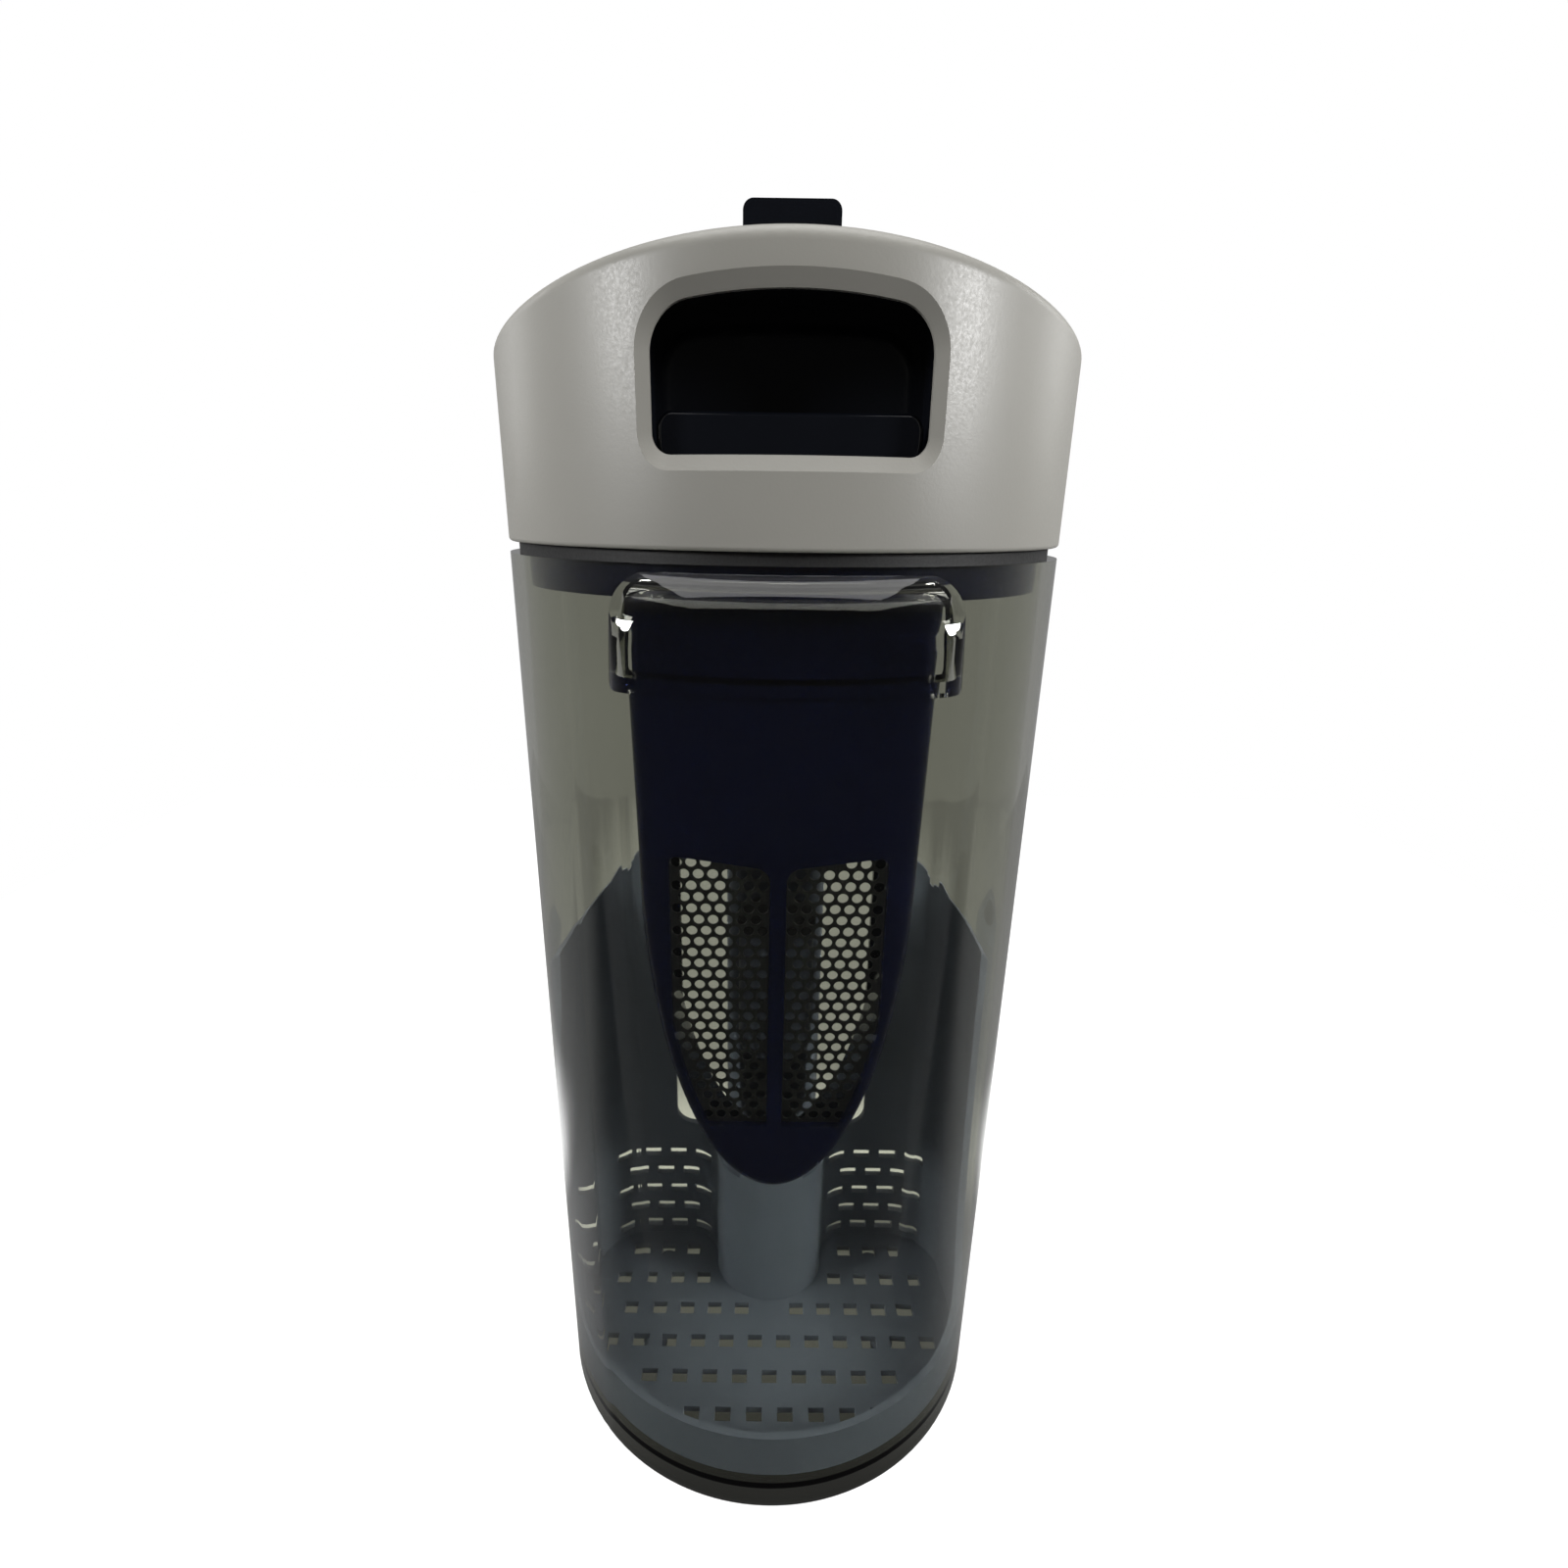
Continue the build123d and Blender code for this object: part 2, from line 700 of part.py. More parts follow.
with BuildPart() as lid_liner:
    with BuildSketch(Plane.XY.offset(lid_bottom)):
        add(deck_plan)
    extrude(amount=deck_thick)
    with BuildSketch(Plane.XY.offset(lid_bottom - skirt_drop)):
        add(skirt_plan)
        add(skirt_room, mode=Mode.SUBTRACT)
    extrude(amount=skirt_drop)
    with BuildSketch(Plane.XY.offset(deck_top)):
        with Locations((0, filter_y)):
            RectangleRounded(
                filter_width + 2 * (tower_gap + tower_wall),
                filter_depth + 2 * (tower_gap + tower_wall),
                filter_corner + tower_gap + tower_wall,
            )
            RectangleRounded(
                filter_width + 2 * tower_gap,
                filter_depth + 2 * tower_gap,
                filter_corner + tower_gap,
                mode=Mode.SUBTRACT,
            )
    extrude(amount=tower_height)
    with BuildSketch(Plane.XY.offset(lid_bottom)):
        with Locations((0, float_y)):
            Circle(air_hole)
            Circle(hub_radius, mode=Mode.SUBTRACT)
            with PolarLocations(0, 3, 90):
                Rectangle(air_hole, arm_width, align=(Align.MIN, Align.CENTER), mode=Mode.SUBTRACT)
        with Locations((0, float_y)):
            Circle(rod_radius + rod_seat)
        with Locations(*boss_spots):
            Circle(screw_radius + slide_fit)
        with Locations(*cage_screw_spots):
            Circle(screw_radius + slide_fit)
    extrude(amount=deck_thick, mode=Mode.SUBTRACT)
lid_liner.part.label = "lid_liner"
export_step(lid_liner.part, "parts/lid_liner.step")

# Rubber ring pressed between the rim of the tank and the lid
seal_plan = d_plan(seal_inset)
seal_room = d_plan(skirt_inset - cup_fit)

with BuildPart() as rim_seal:
    with BuildSketch(Plane.XY.offset(tank_height)):
        add(seal_plan)
        add(seal_room, mode=Mode.SUBTRACT)
    extrude(amount=seal_height)
rim_seal.part.label = "rim_seal"
export_step(rim_seal.part, "parts/rim_seal.step")

# Strainer cage with two window frames in front and an open back below
cage_skin = cage_outline(0)
cage_room = cage_outline(cage_wall)
window_hole = window_outline(0)
sheet_face = window_outline(sheet_lap)

with BuildPart() as strainer_cage:
    with BuildSketch(Plane.XZ.offset(-cage_back)):
        add(cage_skin)
    extrude(amount=cage_front + cage_back)
    front_face = strainer_cage.faces().sort_by(Axis.Y)[0]
    fillet(front_face.edges().sort_by(Axis.Z)[:-1], cage_round)
    with BuildSketch(Plane.XZ.offset(-cage_back + cage_wall)):
        add(cage_room)
    extrude(amount=cage_front + cage_back - 2 * cage_wall, mode=Mode.SUBTRACT)
    with BuildSketch(Plane.XZ.offset(-cage_back)):
        with Locations((0, rear_top)):
            Rectangle(2 * rear_open, rear_top, align=(Align.CENTER, Align.MAX))
    extrude(amount=cage_wall, mode=Mode.SUBTRACT)
    with BuildSketch(Plane.XZ):
        add(window_hole)
        mirror(about=Plane.YZ)
    extrude(amount=cage_front, mode=Mode.SUBTRACT)
    with BuildSketch(Plane.XY.offset(cage_shoulder - cage_tip + cage_wall / 2)):
        with Locations((0, float_y)):
            Circle(tip_boss)
    extrude(amount=tip_boss_height)
    with BuildSketch(Plane.XY.offset(cage_shoulder - cage_tip + cage_wall)):
        with Locations((0, float_y)):
            Circle(rod_radius + rod_seat)
    extrude(amount=tip_boss_height, mode=Mode.SUBTRACT)
    with BuildSketch(Plane.XY.offset(lid_bottom)):
        with Locations(*cage_screw_spots):
            Circle(cage_boss_radius)
    extrude(amount=-cage_boss_depth)
    with BuildSketch(Plane.XY.offset(lid_bottom)):
        with Locations(*cage_screw_spots):
            Circle(screw_radius)
    extrude(amount=-screw_length, mode=Mode.SUBTRACT)
strainer_cage.part.label = "strainer_cage"
export_step(strainer_cage.part, "parts/strainer_cage.step")


# Perforated steel sheet behind one window
def steel_sheet(side):
    spots = []
    row_step = sheet_pitch * sqrt(3) / 2
    rows = int((window_top - window_foot) / row_step)
    for row in range(rows):
        spot_z = window_foot + (row + 0.5) * row_step
        drop = max(cage_shoulder - spot_z, 0) / (cage_tip - window_margin)
        limit = (cage_half - window_margin) * sqrt(1 - drop**2)
        limit = min(limit, window_outer) - sheet_hole
        spot_x = window_rib / 2 + sheet_hole + sheet_border + row % 2 * sheet_pitch / 2
        while spot_x < limit:
            if spot_z < window_top - window_slope - sheet_hole:
                spots.append((side * spot_x, spot_z))
            spot_x += sheet_pitch
    with BuildPart() as sheet:
        with BuildSketch(Plane.XZ.offset(cage_front - cage_wall - sheet_thick)):
            add(sheet_face if side > 0 else sheet_face.mirror(Plane.YZ))
            with Locations(*spots):
                RegularPolygon(sheet_hole, 6, mode=Mode.SUBTRACT)
        extrude(amount=sheet_thick)
    return sheet.part


sheet_left = steel_sheet(-1)
sheet_left.label = "steel_sheet_left"
export_step(sheet_left, "parts/steel_sheet_left.step")

sheet_right = steel_sheet(1)
sheet_right.label = "steel_sheet_right"
export_step(sheet_right, "parts/steel_sheet_right.step")

# Float with its rubber disc, guided by a rod between cage tip and deck
rod_bottom = cage_shoulder - cage_tip + cage_wall

with BuildPart() as float_rod:
    with BuildSketch(Plane.XY.offset(rod_bottom)):
        with Locations((0, float_y)):
            Circle(rod_radius)
    extrude(amount=deck_top - rod_bottom)
    with BuildSketch(Plane.XY.offset(float_foot - collar_thick)):
        with Locations((0, float_y)):
            Circle(collar_radius)
    extrude(amount=collar_thick)
float_rod.part.label = "float_rod"
export_step(float_rod.part, "parts/float_rod.step")

with BuildPart() as float_body:
    with BuildSketch(Plane.XY.offset(float_foot)):
        with Locations((0, float_y)):
            Circle(float_radius)
    extrude(amount=float_height)
    fillet(float_body.edges().group_by(Axis.Z)[0], float_round)
    with BuildSketch(Plane.XY.offset(float_foot)):
        with Locations((0, float_y)):
            Circle(rod_radius + rod_fit)
    extrude(amount=float_height, mode=Mode.SUBTRACT)
float_body.part.label = "float_body"
export_step(float_body.part, "parts/float_body.step")

with BuildPart() as float_disc:
    with BuildSketch(Plane.XY.offset(float_foot + float_height)):
        with Locations((0, float_y)):
            Circle(disc_radius)
            Circle(rod_radius + rod_fit, mode=Mode.SUBTRACT)
    extrude(amount=disc_thick)
float_disc.part.label = "float_disc"
export_step(float_disc.part, "parts/float_disc.step")

# Filter cartridge: flanged frame with a grille, pleated paper, foam and a rubber ring
frame_bottom = frame_top - filter_height
inner_width = filter_width - 2 * filter_wall
inner_depth = filter_depth - 2 * filter_wall
bar_step = inner_width / (bar_count + 1)
foam_bottom = frame_bottom + filter_wall
pleat_bottom = foam_bottom + foam_thick
pleat_top = frame_top - flange_plate

with BuildPart() as filter_frame:
    with BuildSketch(Plane.XY.offset(frame_bottom)):
        with Locations((0, filter_y)):
            RectangleRounded(filter_width, filter_depth, filter_corner)
    extrude(amount=filter_height)
    with BuildSketch(Plane.XY.offset(frame_top)):
        with Locations((0, filter_y)):
            RectangleRounded(
                filter_width + 2 * filter_flange,
                filter_depth + 2 * filter_flange,
                filter_corner + filter_flange,
            )
    extrude(amount=-flange_plate)
    with BuildSketch(Plane.XY.offset(foam_bottom)):
        with Locations((0, filter_y)):
            RectangleRounded(inner_width, inner_depth, filter_corner - filter_wall)
    extrude(amount=filter_height, mode=Mode.SUBTRACT)
    with BuildSketch(Plane.XY.offset(frame_bottom)):
        with Locations((0, filter_y)):
            RectangleRounded(
                inner_width - 2 * filter_lip, inner_depth - 2 * filter_lip, filter_corner - filter_wall
            )
    extrude(amount=filter_wall, mode=Mode.SUBTRACT)
    with BuildSketch(Plane.XY.offset(pleat_top)):
        with Locations((0, filter_y)):
            with GridLocations(bar_step, inner_depth, bar_count, 1):
                Rectangle(bar_width, inner_depth)
            Rectangle(inner_width, bar_width)
    extrude(amount=flange_plate)
filter_frame.part.label = "filter_frame"
export_step(filter_frame.part, "parts/filter_frame.step")

pleat_span = inner_width - 2 * pleat_margin
pleat_pitch = pleat_span / pleat_count
pleat_low = []
pleat_high = []
for fold in range(2 * pleat_count + 1):
    fold_x = -pleat_span / 2 + fold * pleat_pitch / 2
    lift = fold % 2 * (pleat_top - pleat_bottom - 2 * pleat_paper)
    pleat_low.append((fold_x, pleat_bottom + lift))
    pleat_high.append((fold_x, pleat_bottom + lift + 2 * pleat_paper))

with BuildPart() as filter_pleats:
    with BuildSketch(Plane.XZ.offset(-filter_y - inner_depth / 2 + pleat_margin)):
        with BuildLine():
            Polyline(*pleat_low, *reversed(pleat_high), close=True)
        make_face()
    extrude(amount=inner_depth - 2 * pleat_margin)
filter_pleats.part.label = "filter_pleats"
export_step(filter_pleats.part, "parts/filter_pleats.step")

with BuildPart() as filter_foam:
    with BuildSketch(Plane.XY.offset(foam_bottom)):
        with Locations((0, filter_y)):
            RectangleRounded(
                inner_width - 2 * filter_fit, inner_depth - 2 * filter_fit, filter_corner - filter_wall
            )
    extrude(amount=foam_thick)
filter_foam.part.label = "filter_foam"
export_step(filter_foam.part, "parts/filter_foam.step")

with BuildPart() as filter_seal:
    with BuildSketch(Plane.XY.offset(frame_bottom)):
        with Locations((0, filter_y)):
            RectangleRounded(
                filter_width + 2 * (tower_gap - cup_fit),
                filter_depth + 2 * (tower_gap - cup_fit),
                filter_corner + tower_gap - cup_fit,
            )
            RectangleRounded(filter_width, filter_depth, filter_corner, mode=Mode.SUBTRACT)
    extrude(amount=seal_height)
filter_seal.part.label = "filter_seal"
export_step(filter_seal.part, "parts/filter_seal.step")

# Screws that hold the liner to the lid and the cage to the liner
with BuildPart() as lid_screws:
    with BuildSketch(Plane.XY.offset(lid_bottom - screw_head_thick)):
        with Locations(*boss_spots):
            Circle(screw_head)
    extrude(amount=screw_head_thick)
    with BuildSketch(Plane.XY.offset(lid_bottom)):
        with Locations(*boss_spots):
            Circle(screw_radius)
    extrude(amount=screw_length)
lid_screws.part.label = "lid_screws"
export_step(lid_screws.part, "parts/lid_screws.step")

with BuildPart() as cage_screws:
    with BuildSketch(Plane.XY.offset(deck_top)):
        with Locations(*cage_screw_spots):
            Circle(screw_head)
    extrude(amount=screw_head_thick)
    with BuildSketch(Plane.XY.offset(deck_top)):
        with Locations(*cage_screw_spots):
            Circle(screw_radius)
    extrude(amount=-screw_length)
cage_screws.part.label = "cage_screws"
export_step(cage_screws.part, "parts/cage_screws.step")
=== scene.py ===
import math

import bpy
from mathutils import Matrix, Vector


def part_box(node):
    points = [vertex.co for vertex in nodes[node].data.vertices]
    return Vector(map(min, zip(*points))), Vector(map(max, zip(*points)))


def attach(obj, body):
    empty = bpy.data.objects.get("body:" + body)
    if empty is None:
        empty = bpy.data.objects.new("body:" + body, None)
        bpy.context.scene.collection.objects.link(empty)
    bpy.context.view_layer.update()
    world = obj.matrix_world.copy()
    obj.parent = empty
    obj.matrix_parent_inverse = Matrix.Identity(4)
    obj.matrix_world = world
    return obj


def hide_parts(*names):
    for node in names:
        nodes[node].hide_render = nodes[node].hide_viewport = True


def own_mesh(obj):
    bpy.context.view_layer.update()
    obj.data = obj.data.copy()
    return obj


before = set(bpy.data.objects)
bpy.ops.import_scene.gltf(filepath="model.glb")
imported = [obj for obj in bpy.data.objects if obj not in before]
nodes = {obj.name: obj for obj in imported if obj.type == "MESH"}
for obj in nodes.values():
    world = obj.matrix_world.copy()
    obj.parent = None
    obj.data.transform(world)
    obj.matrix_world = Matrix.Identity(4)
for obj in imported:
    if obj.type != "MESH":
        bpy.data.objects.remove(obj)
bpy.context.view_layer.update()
mm = 0.001
print("frame loaded:", len(nodes), "nodes")


# sRGB hex to the linear values that Blender works in
def hexColour(code):
    parts = [int(code[i:i + 2], 16) / 255 for i in (1, 3, 5)]
    return [p / 12.92 if p <= 0.04045 else ((p + 0.055) / 1.055) ** 2.4 for p in parts] + [1.0]


# adds one node: settings are its properties, sockets are values or links into its inputs
def addNode(tree, kind, settings=None, sockets=None):
    made = tree.nodes.new(kind)
    for name, value in (settings or {}).items():
        setattr(made, name, value)
    for name, value in (sockets or {}).items():
        if isinstance(value, bpy.types.NodeSocket):
            tree.links.new(value, made.inputs[name])
        else:
            made.inputs[name].default_value = value
    return made


def newMaterial(name):
    made = bpy.data.materials.new(name)
    made.use_nodes = True
    made.node_tree.nodes.clear()
    return made, made.node_tree


# noise cells of this size, for a pattern on Object coordinates in metres
def cellsOf(sizeMm):
    return 1.0 / (sizeMm * mm)


# share of the grain's range that the roughness follows, and depth of the grain as a share of its size
grainSpan = (0.3, 0.7)
grainDepth = 0.3


# A moulded plastic: colour that drifts a little, a mould texture in the bump, roughness that follows it
def mouldedPlastic(name, finish):
    made, tree = newMaterial(name)
    place = addNode(tree, "ShaderNodeTexCoord").outputs["Object"]
    drift = addNode(tree, "ShaderNodeTexNoise", sockets={
        "Vector": place, "Scale": cellsOf(finish["driftMm"]), "Detail": 3.0, "Roughness": 0.55})
    grain = addNode(tree, "ShaderNodeTexNoise", sockets={
        "Vector": place, "Scale": cellsOf(finish["grainMm"]), "Detail": 2.0, "Roughness": 0.6})
    colour = addNode(tree, "ShaderNodeMix", {"data_type": "RGBA"}, {
        "Factor": drift.outputs["Fac"]})
    colour.inputs[6].default_value = hexColour(finish["dark"])
    colour.inputs[7].default_value = hexColour(finish["light"])
    rough = addNode(tree, "ShaderNodeMapRange", sockets={
        "Value": grain.outputs["Fac"], "From Min": grainSpan[0], "From Max": grainSpan[1],
        "To Min": finish["rough"][0], "To Max": finish["rough"][1]})
    bump = addNode(tree, "ShaderNodeBump", sockets={
        "Strength": finish["bump"], "Distance": finish["grainMm"] * mm * grainDepth,
        "Height": grain.outputs["Fac"]})
    shader = addNode(tree, "ShaderNodeBsdfPrincipled", sockets={
        "Base Color": colour.outputs[2], "Roughness": rough.outputs["Result"],
        "Normal": bump.outputs["Normal"], "IOR": finish["ior"]})
    addNode(tree, "ShaderNodeOutputMaterial", sockets={"Surface": shader.outputs["BSDF"]})
    return made


# Clear smoke-grey styrene copolymer, polished tool: tinted, glossy, with faint flow waves
smokeFinish = {"tintA": "#d8d9ce", "tintB": "#dedfd4", "ior": 1.52, "rough": (0.012, 0.03), "waveMm": 26.0,
               "waveBump": 0.02, "waveDeepMm": 1.0, "lightPass": 0.78}


def smokeClear(name, finish):
    made, tree = newMaterial(name)
    place = addNode(tree, "ShaderNodeTexCoord").outputs["Object"]
    wave = addNode(tree, "ShaderNodeTexNoise", sockets={
        "Vector": place, "Scale": cellsOf(finish["waveMm"]), "Detail": 1.0, "Roughness": 0.4})
    tint = addNode(tree, "ShaderNodeMix", {"data_type": "RGBA"}, {"Factor": wave.outputs["Fac"]})
    tint.inputs[6].default_value = hexColour(finish["tintA"])
    tint.inputs[7].default_value = hexColour(finish["tintB"])
    rough = addNode(tree, "ShaderNodeMapRange", sockets={
        "Value": wave.outputs["Fac"], "To Min": finish["rough"][0], "To Max": finish["rough"][1]})
    bump = addNode(tree, "ShaderNodeBump", sockets={
        "Strength": finish["waveBump"], "Distance": finish["waveDeepMm"] * mm, "Height": wave.outputs["Fac"]})
    # lamps shine through the wall, less what its two faces take away
    shadowRay = addNode(tree, "ShaderNodeLightPath").outputs["Is Shadow Ray"]
    solid = addNode(tree, "ShaderNodeMath", {"operation": "MULTIPLY_ADD"})
    tree.links.new(shadowRay, solid.inputs[0])
    solid.inputs[1].default_value = -finish["lightPass"]
    solid.inputs[2].default_value = 1.0
    shader = addNode(tree, "ShaderNodeBsdfPrincipled", sockets={
        "Base Color": tint.outputs[2], "Roughness": rough.outputs["Result"], "IOR": finish["ior"],
        "Transmission Weight": 1.0, "Normal": bump.outputs["Normal"], "Alpha": solid.outputs[0]})
    addNode(tree, "ShaderNodeOutputMaterial", sockets={"Surface": shader.outputs["BSDF"]})
    return made


# Stainless steel, rolled: grey metal with fine lines along the rolling direction
steelFinish = {"dark": "#4f5152", "light": "#6d6f70", "rough": (0.28, 0.42), "lineMm": 0.35, "stretch": 40.0}


def rolledSteel(name, finish):
    made, tree = newMaterial(name)
    place = addNode(tree, "ShaderNodeTexCoord").outputs["Object"]
    along = addNode(tree, "ShaderNodeMapping", sockets={
        "Vector": place, "Scale": (1.0, 1.0, 1.0 / finish["stretch"])})
    lines = addNode(tree, "ShaderNodeTexNoise", sockets={
        "Vector": along.outputs["Vector"], "Scale": cellsOf(finish["lineMm"]), "Detail": 2.0})
    colour = addNode(tree, "ShaderNodeMix", {"data_type": "RGBA"}, {"Factor": lines.outputs["Fac"]})
    colour.inputs[6].default_value = hexColour(finish["dark"])
    colour.inputs[7].default_value = hexColour(finish["light"])
    rough = addNode(tree, "ShaderNodeMapRange", sockets={
        "Value": lines.outputs["Fac"], "To Min": finish["rough"][0], "To Max": finish["rough"][1]})
    shader = addNode(tree, "ShaderNodeBsdfPrincipled", sockets={
        "Base Color": colour.outputs[2], "Metallic": 1.0, "Roughness": rough.outputs["Result"]})
    addNode(tree, "ShaderNodeOutputMaterial", sockets={"Surface": shader.outputs["BSDF"]})
    return made


# ABS from a spark-eroded tool: satin, so the light rolls off softly; grain drawn coarser than real to show
warmGreyAbs = mouldedPlastic("warmGreyAbs", {
    "dark": "#9e9c95", "light": "#a6a49d", "driftMm": 30.0, "grainMm": 0.5, "rough": (0.36, 0.46),
    "bump": 0.12, "ior": 1.53})
# ABS from a polished tool: near black with sharp reflections
glossBlackAbs = mouldedPlastic("glossBlackAbs", {
    "dark": "#0d0f14", "light": "#13151b", "driftMm": 12.0, "grainMm": 4.0, "rough": (0.1, 0.18),
    "bump": 0.02, "ior": 1.53})
# Polypropylene, navy, semi-gloss
navyPolypropylene = mouldedPlastic("navyPolypropylene", {
    "dark": "#05081b", "light": "#080c25", "driftMm": 18.0, "grainMm": 2.5, "rough": (0.16, 0.22),
    "bump": 0.01, "ior": 1.45})
# Polypropylene, charcoal, matt from a fine-blasted tool
charcoalPolypropylene = mouldedPlastic("charcoalPolypropylene", {
    "dark": "#515864", "light": "#5b626f", "driftMm": 16.0, "grainMm": 0.6, "rough": (0.42, 0.55),
    "bump": 0.1, "ior": 1.49})
# Nitrile rubber, dull black
nitrileRubber = mouldedPlastic("nitrileRubber", {
    "dark": "#0c0c0d", "light": "#141415", "driftMm": 8.0, "grainMm": 0.4, "rough": (0.55, 0.7),
    "bump": 0.15, "ior": 1.52})
# Pleated cellulose paper, off-white with visible fibre
filterPaper = mouldedPlastic("filterPaper", {
    "dark": "#cfc9b8", "light": "#e4dfd1", "driftMm": 1.6, "grainMm": 0.3, "rough": (0.85, 0.95),
    "bump": 0.4, "ior": 1.45})
# Open-cell polyurethane foam, dark grey and pored
filterFoam = mouldedPlastic("filterFoam", {
    "dark": "#232527", "light": "#3b3e41", "driftMm": 1.0, "grainMm": 0.9, "rough": (0.85, 0.95),
    "bump": 0.8, "ior": 1.45})
stainlessSheet = rolledSteel("stainlessSheet", steelFinish)
zincScrew = rolledSteel("zincScrew", {
    "dark": "#8d9092", "light": "#b1b4b6", "rough": (0.3, 0.45), "lineMm": 0.3, "stretch": 1.0})
smokeStyrene = smokeClear("smokeStyrene", smokeFinish)
print("materials made:", len(bpy.data.materials))

finishOf = {
    "tank_shell": (smokeStyrene, "smoke_plastic"),
    "inlet_pipe": (charcoalPolypropylene, "charcoal_plastic"),
    "inlet_seal": (nitrileRubber, "black_rubber"),
    "strainer_basket": (charcoalPolypropylene, "charcoal_plastic"),
    "lid_shell": (warmGreyAbs, "warm_grey_plastic"),
    "grip_cup": (glossBlackAbs, "black_plastic"),
    "release_bar": (glossBlackAbs, "black_plastic"),
    "latch_bolt": (glossBlackAbs, "black_plastic"),
    "latch_screw": (zincScrew, "steel"),
    "latch_spring": (zincScrew, "steel"),
    "lid_liner": (navyPolypropylene, "navy_plastic"),
    "rim_seal": (nitrileRubber, "black_rubber"),
    "strainer_cage": (navyPolypropylene, "navy_plastic"),
    "float_rod": (zincScrew, "steel"),
    "float_body": (charcoalPolypropylene, "charcoal_plastic"),
    "float_disc": (nitrileRubber, "black_rubber"),
    "filter_frame": (glossBlackAbs, "black_plastic"),
    "filter_pleats": (filterPaper, "filter_paper"),
    "filter_foam": (filterFoam, "filter_foam"),
    "filter_seal": (nitrileRubber, "black_rubber"),
    "lid_screws": (zincScrew, "steel"),
    "cage_screws": (zincScrew, "steel"),
}

# Loose CAD triangles joined and shaded smooth, with creases kept at real edges
softShade = {"mergeMm": 0.002, "creaseDeg": 28.0}
shadeTree = bpy.data.node_groups.new("shadeByAngle", "GeometryNodeTree")
shadeTree.interface.new_socket("Geometry", in_out="INPUT", socket_type="NodeSocketGeometry")
shadeTree.interface.new_socket("Merge Distance", in_out="INPUT", socket_type="NodeSocketFloat")
shadeTree.interface.new_socket("Crease Angle", in_out="INPUT", socket_type="NodeSocketFloat")
shadeTree.interface.new_socket("Geometry", in_out="OUTPUT", socket_type="NodeSocketGeometry")
given = addNode(shadeTree, "NodeGroupInput").outputs
joined = addNode(shadeTree, "GeometryNodeMergeByDistance", sockets={
    "Geometry": given["Geometry"], "Distance": given["Merge Distance"]})
edgeAngle = addNode(shadeTree, "GeometryNodeInputMeshEdgeAngle")
gentle = addNode(shadeTree, "FunctionNodeCompare", {"operation": "LESS_EQUAL"})
shadeTree.links.new(edgeAngle.outputs["Unsigned Angle"], gentle.inputs["A"])
shadeTree.links.new(given["Crease Angle"], gentle.inputs["B"])
smoothFaces = addNode(shadeTree, "GeometryNodeSetShadeSmooth", {"domain": "FACE"}, {
    "Geometry": joined.outputs["Geometry"], "Shade Smooth": True})
smoothEdges = addNode(shadeTree, "GeometryNodeSetShadeSmooth", {"domain": "EDGE"}, {
    "Geometry": smoothFaces.outputs["Geometry"], "Shade Smooth": gentle.outputs["Result"]})
addNode(shadeTree, "NodeGroupOutput", sockets={"Geometry": smoothEdges.outputs["Geometry"]})
shadeInputs = {s.name: s.identifier for s in shadeTree.interface.items_tree if s.in_out == "INPUT"}

for name, (finish, slotName) in finishOf.items():
    piece = nodes[name]
    piece.data.materials.clear()
    piece.data.materials.append(finish)
    shade = piece.modifiers.new("shadeByAngle", "NODES")
    shade.node_group = shadeTree
    shade[shadeInputs["Merge Distance"]] = softShade["mergeMm"] * mm
    shade[shadeInputs["Crease Angle"]] = math.radians(softShade["creaseDeg"])
print("CAD nodes finished:", len(finishOf))

# Return spring of the latch: a copy of its CAD node's smooth-shaded mesh, carried on the lid
low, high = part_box("latch_spring")
bpy.context.view_layer.update()
coilNode = nodes["latch_spring"].evaluated_get(bpy.context.evaluated_depsgraph_get())
coilMesh = bpy.data.meshes.new_from_object(coilNode)
coilMesh.transform(nodes["latch_spring"].matrix_world)
coil = bpy.data.objects.new("return_spring", coilMesh)
bpy.context.scene.collection.objects.link(coil)
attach(coil, "lid")
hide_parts("latch_spring")
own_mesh(coil)
print("return spring", len(coilMesh.vertices), "vertices")

# Perforated sheets: 2.3 mm round holes on a 3 mm staggered pitch, kept whole by a plain border
steelSheet = {"holeMm": 2.3, "pitchMm": 3.0, "borderMm": 1.3, "holeSides": 16, "slopeMm": 3.0,
              "outerTurnMm": 1.6, "innerTurnMm": 3.4, "shoulderZ": 150.0, "limitHalf": 26.3,
              "limitDrop": 79.8, "sideSteps": 14, "turnSteps": 6, "mergeMm": 0.002}

sheetTree = bpy.data.node_groups.new("perforatedSheet", "GeometryNodeTree")
for name, kind in (("Geometry", "Geometry"), ("Pitch", "Float"), ("Hole Diameter", "Float"),
                   ("Border", "Float"), ("Thickness", "Float"), ("Hole Sides", "Int"), ("Finish", "Material")):
    sheetTree.interface.new_socket(name, in_out="INPUT", socket_type="NodeSocket" + kind)
sheetTree.interface.new_socket("Geometry", in_out="OUTPUT", socket_type="NodeSocketGeometry")
given = addNode(sheetTree, "NodeGroupInput").outputs
outline = addNode(sheetTree, "GeometryNodeMeshToCurve", sockets={"Mesh": given["Geometry"]}).outputs["Curve"]
blank = addNode(sheetTree, "GeometryNodeFillCurve", sockets={"Curve": outline}).outputs["Mesh"]
room = addNode(sheetTree, "GeometryNodeBoundBox", sockets={"Geometry": given["Geometry"]}).outputs
span = addNode(sheetTree, "ShaderNodeVectorMath", {"operation": "SUBTRACT"})
sheetTree.links.new(room["Max"], span.inputs[0])
sheetTree.links.new(room["Min"], span.inputs[1])
spanXyz = addNode(sheetTree, "ShaderNodeSeparateXYZ", sockets={"Vector": span.outputs["Vector"]}).outputs
